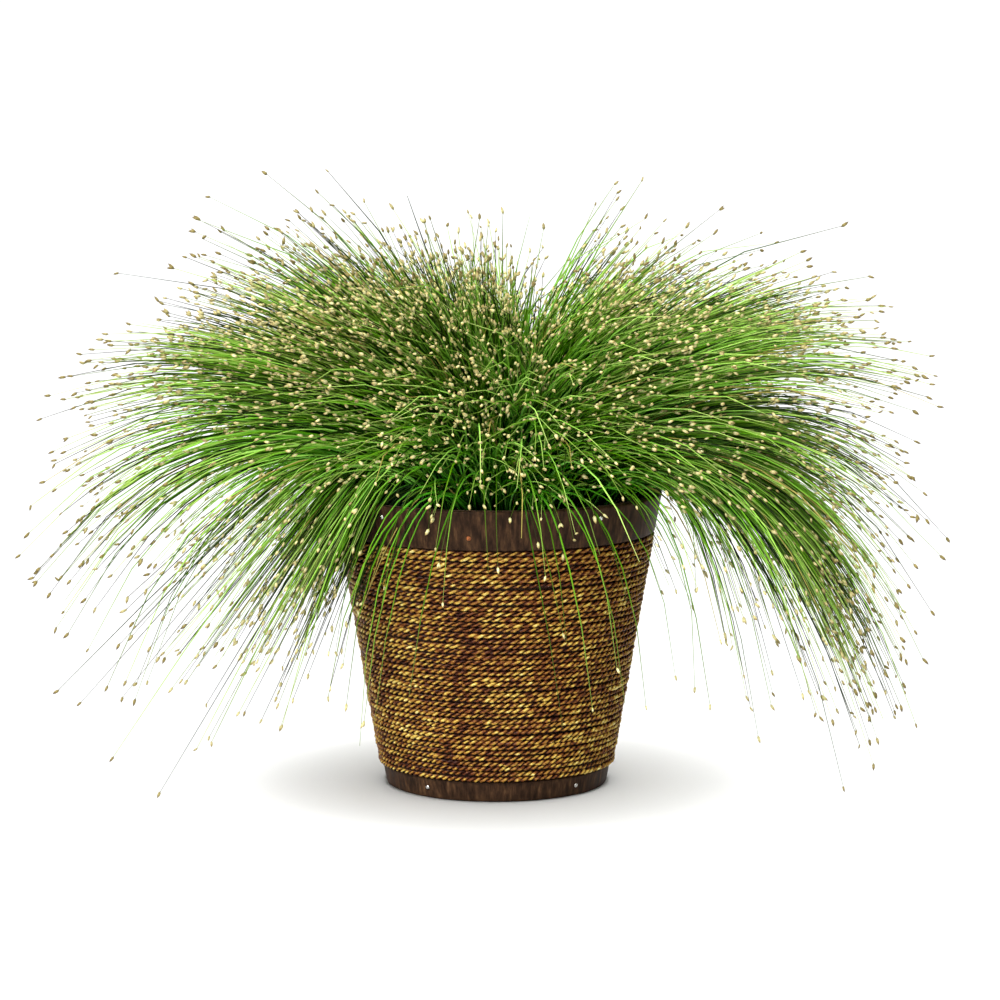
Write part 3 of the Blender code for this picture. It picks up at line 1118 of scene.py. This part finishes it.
@dataclass
class Plant:
    """The sedge: thousands of thin stems in locks, most with a spikelet at the tip."""

    strands: bpy.types.NodeTree
    scatter: bpy.types.NodeTree
    front_reach: float = 0.66
    back_reach: float = 0.84
    right_short: float = 0.05
    comb: float = 0.10
    # Painted shade for random locks that face left
    left_shade: float = 0.3
    left_short: float = 0.09
    parting_at: float = 32 * MM
    parting_width: float = 30 * MM
    parting_push: float = 15 * MM
    base_radius: float = 0.54 * MM
    tip_radius: float = 0.13 * MM
    soil_height: float = 137.5 * MM
    bare_share: float = 0.06
    bare_front_share: float = 0.6
    front_half_width: float = 68 * MM
    front_height: float = 172 * MM
    twin_share: float = 0.15
    hanging_stems: int = 30
    spikelet_length: float = 3.8 * MM
    spikelet_width: float = 1.38 * MM
    full_spread: float = 240 * MM
    clear_of_floor: float = 8 * MM
    widest: float = 248 * MM
    stem_sides: int = 3
    upright_lean: float = 0.42
    drooping_lean: float = 0.74
    thin_left: tuple[float, float] = (172, -115)
    thin_left_share: float = 0.75
    overlong_share: float = 0.04
    dry_share: float = 0.02
    dry_tone: float = 0.98
    seed: int = 9
    rng: np.random.Generator = field(init=False)

    def __post_init__(self) -> None:
        """Seeds the plant's own random numbers."""
        self.rng = np.random.default_rng(self.seed)

    def features(self, layer: Layer) -> list[Lock]:
        """The locks that stand out on the plant, listed one by one.

        Args:
            layer: The layer.

        Returns:
            Its locks, without those that are placed at random.
        """
        if layer is Layer.SKIRT:
            return [
                Lock(-6, 0.08, 0.96, 90, 0.11, 0.02, 0.5, Way.FALLING),
                Lock(-8, 0.46, 1.0, 190, 0.1, 0.02, 0.62, Way.FALLING, 0.08),
                Lock(-11, 0.62, 1.04, 190, 0.08, 0.03, 0.7, Way.FALLING, 0.2),
                Lock(-13, 0.98, 1.0, 40, 0.09, 0.03, 0.5, Way.FALLING),
                Lock(-16, 1.04, 0.98, 30, 0.12, 0.04, 0.6),
                Lock(-24, 0.98, 0.98, 26, 0.14, 0.05, 0.7),
                Lock(-164, 0.3, 0.94, 26, 0.12, 0.0, 0.5, Way.FALLING),
                # Drapes at the front left: the two outer ones a little lighter, the inner ones painted shade,
                # near black in the hollow above the rim
                Lock(-161, 0.02, 1.0, 84, 0.14, -0.02, 0.5, Way.DRAPED, -0.04),
                Lock(-152, 0.15, 1.0, 96, 0.1, -0.05, 0.5, Way.DRAPED, -0.04),
                Lock(-142, 0.5, 1.03, 205, 0.07, -0.12, 0.64, Way.DRAPED, 0.12),
                Lock(-131, 0.98, 1.0, 210, 0.13, -0.5, 0.78, Way.DRAPED, 0.44),
                Lock(-166, 0.9, 1.02, 7, 0.02, 0.0, 0.94),
            ] + [Lock(angle, 0.9, 0.62, 5, 0.12, 0.0, 0.6, shade=0.1) for angle in range(-128, -30, 12)]
        if layer is Layer.OUTER:
            return [
                Lock(-172, 0.8, 1.03, 70, 0.1, 0.0, 0.78),
                Lock(-10, 0.78, 1.04, 60, 0.12, 0.0, 0.62),
                Lock(0, 0.62, 1.05, 30, 0.25, 0.0, 0.85),
            ] + [
                lock
                for angle in range(-135, -30, 13)
                for lock in (
                    Lock(angle, 0.66, 0.64, 28, 0.12, 0.0, 0.6),
                    Lock(angle, 0.76, 0.9, 6, 0.12, 0.0, 0.8, shade=0.1),
                )
            ]
        if layer is Layer.MIDDLE:
            front = [Lock(angle, 0.46, 0.92, 34, 0.12, 0.0, 0.55) for angle in range(-162, -30, 12)]
            front += [Lock(angle, 0.58, 0.84, 34, 0.12, 0.0, 0.55) for angle in range(-156, -30, 12)]
            front += [Lock(-12, 0.54, 1.04, 80, 0.25, 0.0, 0.72), Lock(14, 0.5, 1.05, 50, 0.25, 0.0, 0.72)]
            left = [Lock(-178, 0.65, 1.0, 70, 0.2, 0.0, 0.78), Lock(-178, 0.7, 0.84, 60, 0.2, 0.0, 0.55)]
            # Dense locks on the left carry painted shade, as low in the tuft
            left += [Lock(178, 0.42, 0.72, 200, 0.28, 0.0, 0.45, shade=0.42)]
            return front + left + [Lock(-168, 0.44, 0.7, 180, 0.25, 0.0, 0.45, shade=0.42)]
        if layer is Layer.CROWN:
            return [Lock(20, 0.14, 1.1, 14, 0.4, 0.0, 0.86), Lock(160, 0.18, 1.08, 12, 0.4, 0.0, 0.86)]
        if layer is Layer.UPPER:
            front = [Lock(angle, 0.34, 0.68, 26, 0.16, 0.0, 0.7) for angle in range(-172, -30, 16)]
            return front + [
                Lock(172, 0.38, 1.0, 56, 0.3, 0.0, 0.74),
                Lock(168, 0.3, 0.96, 14, 0.02, 0.0, 0.9, shade=0.3),
                Lock(180, 0.4, 0.76, 80, 0.35, 0.0, 0.5, shade=0.12),
            ]
        return []

    def share_kept(self, angle: float, lean: float) -> float:
        """Share of the random locks that grow, so that the plant parts at its front and back.

        Args:
            angle: The lock's angle in degrees.
            lean: How far it leans.

        Returns:
            The share, from 0 to 1.
        """
        across = math.cos(math.radians(angle))
        side, right, left = across**2, max(across, 0), min(across, 0)
        if lean < self.upright_lean:
            share = (0.27 + 0.46 * side) * (1 - 0.72 * across)
        elif lean > self.drooping_lean:
            sparse = 0.4 if angle < 0 else 0.5
            share = (sparse + (1 - sparse) * min(1, side * 1.5)) * 0.8 * (1 + 0.55 * left)
        else:
            share = 0.7 * (1 - 0.22 * right if lean < 0.66 else 1 + 0.45 * left)
        if lean > 0.6 and (angle > self.thin_left[0] or angle < self.thin_left[1]):
            share *= self.thin_left_share
        return share * (1 if angle < 0 else 1 - 0.25 * (1 - side))

    def random_locks(self, layer: Layer) -> list[Lock]:
        """Locks of a layer, fewer towards the front and back where the plant parts.

        Args:
            layer: The layer.

        Returns:
            Its locks, without those that are listed one by one.
        """
        growth = layer.value
        locks = []
        while len(locks) < growth.locks:
            angle, lean, chance = self.rng.uniform((-180, growth.lean_from, 0), (180, growth.lean_to, 1))
            across = math.cos(math.radians(angle))
            side = across**2
            front = (1 - side) * (angle < 0)
            end = self.rng.normal(0.96, 0.05) * (1 - 0.4 * front * min(1, max(0, (lean - 0.58) / 0.22)))
            end *= 1 - self.left_short * max(-across, 0) * (0.4 < lean < 0.6)
            stems = self.rng.integers(int(growth.stems * 0.6), int(growth.stems * 1.4))
            drift = self.rng.normal(0, 0.10)
            short = (0.74 if lean > self.upright_lean else 0.62) - 0.19 * side
            if chance < self.share_kept(angle, lean):
                fan = 0.07 + 0.09 * (1 - lean)
                # Painted shade on locks that lean less than 0.7, more the further left they face
                shade = self.left_shade * max(-across, 0) * (lean < 0.7)
                locks.append(Lock(angle, lean, end, int(stems), fan, drift, short, shade=shade))
        return locks

    def reach(self, angle: Array) -> Array:
        """How far stems spread at an angle, as a share of their spread at the sides.

        Args:
            angle: Angles in radians.

        Returns:
            The share at each angle.
        """
        along = np.sin(angle)
        end = np.where(along > 0, self.back_reach, self.front_reach)
        return (1 + (end - 1) * along**2) * (1 - self.right_short * np.maximum(np.cos(angle), 0))

    def spacing(self, count: int) -> Array:
        """Shares of a stem's length at its points, closer together where it arches over."""
        step = np.linspace(0, 1, count)
        return step + 0.35 * np.sin(math.tau * step) / math.tau

    def curve(self, way: Way, lean: Array, angle: Array, t: Array) -> tuple[Array, Array]:
        """Distance from the axis and height along stems.

        Args:
            way: How the stems grow.
            lean: How far each stem leans.
            angle: The angle that each stem starts at.
            t: Share of full length at each point, stems by points.

        Returns:
            Distance and height, stems by points.
        """
        habit = way.value
        root = habit.at(lean, "root") * self.rng.normal(1, 0.10, len(lean))
        root = np.clip(root, 1 * MM, 70 * MM)
        spread = np.ones_like(lean) if way is Way.HANGING else self.reach(angle)
        names = ("rise_out", "shoulder_out", "tip_out")
        outs = [root] + [root + (habit.at(lean, name) - root) * spread for name in names]
        low = np.full(len(lean), self.soil_height)
        ups = [low] + [habit.at(lean, name) for name in ("rise_up", "shoulder_up", "tip_up")]
        weights = ((1 - t) ** 3, 3 * t * (1 - t) ** 2, 3 * t * t * (1 - t), t**3)
        out = sum(w * v[:, None] for w, v in zip(weights, outs))
        up = sum(w * v[:, None] for w, v in zip(weights, ups))
        return out, up

    def wander(self, out: Array, up: Array, turn: Array, along: Array, much: float = 1.0) -> Array:
        """Puts stems in space and lets each bend a little in a way of its own.

        Args:
            out: Distance from the axis.
            up: Height.
            turn: Angle round the axis.
            along: How far along the stem each point is.
            much: How strongly they bend.

        Returns:
            Points, stems by points by 3.
        """
        rng, count = self.rng, len(out)
        bend = rng.normal(0, 9 * MM * much, count)[:, None] * along**2
        wave = rng.normal(0, 1.5 * MM * much, count)[:, None]
        wave = wave * np.sin(along * rng.uniform(3, 7, count)[:, None])
        lift = rng.normal(0, 6 * MM * much, count)[:, None] * along**2.4
        x = out * np.cos(turn) - (bend + wave) * np.sin(turn)
        y = out * np.sin(turn) + (bend + wave) * np.cos(turn)
        aside = (x[:, -1] - self.parting_at) / self.parting_width
        high = np.clip((up[:, -1] - 225 * MM) / (30 * MM), 0, 1)
        push = self.parting_push * high * np.tanh(4 * aside) * np.exp(-(aside**2))
        return np.stack((x + push[:, None] * along**2, y, up + lift), -1)

    def paths(self, layer: Layer) -> tuple[Array, Array, Array]:
        """Centre lines of a layer's stems.

        Args:
            layer: The layer.

        Returns:
            Points (stems by points by 3), each stem's tone, and its share of full length.
        """
        rng = self.rng
        locks = self.random_locks(layer) + self.features(layer)
        which = np.repeat(np.arange(len(locks)), [lock.stems for lock in locks])
        count = len(which)
        columns = ("angle", "lean", "end", "fan", "drift", "short", "shade")
        values = {name: np.array([getattr(lock, name) for lock in locks])[which] for name in columns}
        # A lock's painted shade darkens its stems' tone, and a heavily shaded lock keeps a narrow spread so
        # that it stays dark
        lock_tone = rng.uniform(0.3, 0.76, len(locks))[which] + values["shade"]
        mixed = np.where(values["shade"] > 0.3, 0.36, 0.62)
        loose = np.array([lock.way.value.loose for lock in locks])[which]
        lean = np.clip(values["lean"] + rng.normal(0, 1, count) * loose, 0, 1.1)
        angle = np.radians(values["angle"]) + rng.normal(0, 1, count) * values["fan"]
        short = values["short"]
        end = values["end"] * (short + (1 - short) * rng.beta(1.2, 1.5 + 0.5 * np.cos(angle) ** 2))
        longer = rng.uniform(1.08, np.where(lean < 0.45, 1.5, 1.2))
        longest = np.minimum(end * longer, np.where(lean < 0.45, 1.2, 1.03))
        end = np.where(rng.uniform(size=count) < self.overlong_share, longest, end)
        along = np.broadcast_to(self.spacing(layer.value.points), (count, layer.value.points))
        out, up = np.empty(along.shape), np.empty(along.shape)
        for way in Way:
            rows = np.array([lock.way is way for lock in locks])[which]
            out[rows], up[rows] = self.curve(way, lean[rows], angle[rows], (along * end[:, None])[rows])
        drift = values["drift"] + rng.normal(0, 0.14, count) - self.comb * lean * np.sin(2 * angle)
        points = self.wander(out, up, angle[:, None] + drift[:, None] * along**1.6, along)
        tone = np.clip(lock_tone + rng.uniform(-1, 1, count) * mixed, 0.02, 0.94)
        tone = np.where(rng.uniform(size=count) < self.dry_share, self.dry_tone, tone)
        if layer is Layer.SKIRT:
            count = self.hanging_stems
            lean, aside = rng.uniform(0, 1, count) ** 2.2, rng.normal(-0.05, 0.6, count)
            along = along[:count]
            out, up = self.curve(Way.HANGING, lean, aside, along)
            turn = -math.pi / 2 + aside[:, None] * (0.2 + 0.8 * along)
            points = np.concatenate((points, self.wander(out, up, turn, along, 1.2)))
            tone = np.append(tone, rng.uniform(0.4, 0.85, count))
            end = np.append(end, np.ones(count))
        clear = points[:, :, 2].min(axis=1) > self.clear_of_floor
        clear &= np.abs(points[:, :, 0]).max(axis=1) < self.widest
        return points[clear], tone[clear], end[clear]

    def grow(
        self, layer: Layer, nodes: Sequence[str], stem: bpy.types.Material, glume: bpy.types.Material
    ) -> None:
        """Makes one layer's stems and spikelets.

        Args:
            layer: The layer.
            nodes: The CAD locks that it replaces.
            stem: The stems' material.
            glume: The spikelets' material.
        """
        points, tone, end = self.paths(layer)
        count, length = points.shape[:2]
        along = np.broadcast_to(self.spacing(length), (count, length))
        width = self.base_radius + (self.tip_radius - self.base_radius) * along**3
        width = width * self.rng.normal(1, 0.13, count)[:, None].clip(0.7, 1.3)
        tones = np.broadcast_to(tone[:, None], along.shape)
        name = f"stems_{layer.key}"
        mesh = chains(name, points, {"thickness": width, "tone": tones, "along": along})
        values = {"Sides": self.stem_sides, "Closed Ends": True, "Finish": stem}
        dress(grown(name, mesh, self.strands, values), stem, nodes)

        tip = points[:, -1]
        over_rim = (tip[:, 1] < 0) & (np.abs(tip[:, 0]) < self.front_half_width)
        over_rim &= tip[:, 2] < self.front_height
        bears = self.rng.uniform(size=count) > np.where(over_rim, self.bare_front_share, self.bare_share)
        twins = self.rng.uniform(size=count) < self.twin_share
        bears = np.append(np.flatnonzero(bears), np.flatnonzero(twins))
        tips = points[bears, -1]
        facing = points[bears, -1] - points[bears, -2]
        facing /= np.linalg.norm(facing, axis=1)[:, None]
        facing += self.rng.normal(0, 0.28, facing.shape)
        size = np.empty((len(tips), 3))
        grown_to = self.rng.normal(1, 0.14, len(tips)).clip(0.65, 1.35)
        size[:, 0] = size[:, 1] = self.spikelet_width * grown_to * self.rng.normal(1, 0.08, len(tips))
        size[:, 2] = self.spikelet_length * grown_to
        # Heads further out, on longer stems and up top are browner and darker: partly ripening, partly
        # painted shade on the outer heads
        spread = np.hypot(tips[:, 0], tips[:, 1]) / self.full_spread
        ripening_and_painted_shade = 1.35 * spread**1.6 * (0.4 + 0.6 * end[bears]) + 0.5 * (tips[:, 2] > 262 * MM)
        ripening_and_painted_shade += self.rng.normal(0, 0.16, len(tips))
        shape = self.spikelet_shape()
        name = f"spikelets_{layer.key}"
        mesh = dots(name, tips - facing * 0.8 * MM, facing, size, ripening_and_painted_shade.clip(0.02, 0.97))
        piece = grown(name, mesh, self.scatter, {"Shape": shape, "Finish": glume})
        dress(piece, glume, nodes)
        bpy.data.objects.remove(shape)

    def spikelet_shape(self) -> bpy.types.Object:
        """Egg-shaped seed head, one long and one wide, pointed at the tip."""
        profile = [(0, 0), (0.48, 0.26), (0.44, 0.64), (0, 1)]
        return turned_shape("spikelet_shape", profile, 5)


@dataclass(frozen=True)
class Lamp:
    """A distant soft light: degrees to the camera's right, degrees up, strength and degrees of sky."""

    name: str
    side: float
    height: float
    strength: float
    softness: float


@dataclass
class Studio:
    """Camera, floor and soft light."""

    lamps: tuple[Lamp, ...] = (
        Lamp("overhead softbox", -12, 84, 4.0, 95),
        Lamp("left spotlight", -34, 42, 2.9, 8),
        Lamp("front fill", -28, 24, 1.4, 40),
    )
    axis_pixel: float = 496.5
    frame_pixels: int = 1000
    focal_pixels: float = 3398
    sensor: float = 36.0
    distance: float = 1733 * MM
    height: float = 371 * MM
    pitch: float = 7.4
    wall_height: float = 2.5
    ceiling: float = 0.2
    wash_height: float = 72
    wash_strength: float = 0.425
    wash_from_right: float = 0.1
    wash_softness: float = 14
    wash_step: int = 30
    wall_level: float = 1.05
    floor_half: float = 12.0

    def camera(self) -> None:
        """Stands where the photograph was taken from."""
        data = bpy.data.cameras.new("camera")
        data.sensor_width = self.sensor
        data.lens = self.focal_pixels / self.frame_pixels * self.sensor
        data.clip_start, data.clip_end = 0.1, 100
        camera = bpy.data.objects.new("camera", data)
        bpy.context.scene.collection.objects.link(camera)
        aside = (self.frame_pixels / 2 - self.axis_pixel) / self.focal_pixels * self.distance
        camera.location = (aside, -self.distance, self.height)
        camera.rotation_euler = (math.radians(90 - self.pitch), 0, 0)
        bpy.context.scene.camera = camera

    def floor(self) -> bpy.types.Object:
        """Wide floor that the planter stands on.

        Returns:
            The floor.
        """
        half = self.floor_half
        corners = [(-half, -half, 0), (half, -half, 0), (half, half, 0), (-half, half, 0)]
        mesh = bpy.data.meshes.new("floor")
        mesh.from_pydata(corners, [], [(0, 1, 2, 3)])
        mesh.materials.append(StudioFloor().build())
        floor = mesh_object("floor", mesh)
        return floor

    def hang(self, lamp: Lamp) -> bpy.types.Object:
        """Adds a lamp to the scene.

        Args:
            lamp: Where it is, and how strong and soft. A white surface shows as 1 at a strength of pi.

        Returns:
            The lamp's object.
        """
        data = bpy.data.lights.new(lamp.name, "SUN")
        data.energy = lamp.strength
        data.angle = math.radians(lamp.softness)
        obj = bpy.data.objects.new(lamp.name, data)
        bpy.context.scene.collection.objects.link(obj)
        obj.rotation_euler = (math.radians(90 - lamp.height), 0, math.radians(lamp.side))
        return obj

    def spare(self, lamp: bpy.types.Object, obj: bpy.types.Object) -> None:
        """Flags a lamp off an object, so that it casts no hard shadow there.

        Args:
            lamp: The lamp.
            obj: The object that it doesn't light.
        """
        spared = bpy.data.collections.new(f"not lit by {lamp.name}")
        spared.objects.link(obj)
        lamp.light_linking.receiver_collection = spared
        for entry in spared.collection_objects:
            entry.light_linking.link_state = "EXCLUDE"

    def wash(self, floor: bpy.types.Object, solid: Sequence[bpy.types.Object]) -> None:
        """Lights the floor alone, from high up all round, so that its one shadow is the planter's.

        Args:
            floor: The floor.
            solid: The planter's pieces, which alone shade the floor.
        """
        lit = bpy.data.collections.new("lit by the floor wash")
        shading = bpy.data.collections.new("shades the floor")
        lit.objects.link(floor)
        for piece in solid:
            shading.objects.link(piece)
        for side in range(0, 360, self.wash_step):
            strength = self.wash_strength * (1 + self.wash_from_right * math.sin(math.radians(side)))
            lamp = self.hang(Lamp(f"floor wash {side}", side, self.wash_height, strength, self.wash_softness))
            lamp.light_linking.receiver_collection = lit
            lamp.light_linking.blocker_collection = shading

    def light(self, floor: bpy.types.Object, solid: Sequence[bpy.types.Object]) -> None:
        """White wall low all round, a dimmer ceiling, a broad light overhead and two at the front left.

        Args:
            floor: The floor, which has lights of its own.
            solid: The planter's pieces.
        """
        world = bpy.data.worlds.new("white studio")
        world.use_nodes = True
        tree = world.node_tree
        place = add_node(tree, "ShaderNodeTexCoord")
        split = add_node(tree, "ShaderNodeSeparateXYZ", {0: place.outputs["Generated"]})
        edge = math.sin(math.radians(self.wall_height))
        inputs = {"Value": split.outputs[2], "From Min": edge, "From Max": edge * 2}
        inputs |= {"To Min": self.wall_level, "To Max": self.ceiling}
        level = add_node(tree, "ShaderNodeMapRange", inputs)
        sky = tree.nodes["Background"]
        sky.inputs["Color"].default_value = (1, 1, 1, 1)
        tree.links.new(level.outputs[0], sky.inputs["Strength"])
        bpy.context.scene.world = world
        for lamp in self.lamps:
            self.spare(self.hang(lamp), floor)
        self.wash(floor, solid)
        bpy.context.scene.view_settings.view_transform = "Standard"


def main() -> None:
    """Builds the object round the frame and sets the studio."""
    logging.basicConfig(level=logging.INFO, format="%(name)s: %(message)s")
    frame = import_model()
    studio = Studio()
    studio.camera()

    strands, scatter = strand_tree(), scatter_tree()
    planter = Planter(Taper.of_frame(), strands, scatter)
    bark = BarkStrip().build()
    solid = [planter.body()]
    solid += [planter.band("rim_strip", "rim_band", bark), planter.band("foot_strip", "foot_band", bark)]
    solid += planter.winding() + planter.nails() + [planter.soil()]

    plant = Plant(strands, scatter)
    stem, glume = LivingStem().build(), PaperyGlume().build()
    for layer in Layer:
        nodes = [name for name in sorted(frame["nodes"]) if name.startswith(f"stems_{layer.key}_")]
        plant.grow(layer, nodes, stem, glume)

    studio.light(studio.floor(), solid)


if __name__ == "__main__":
    main()
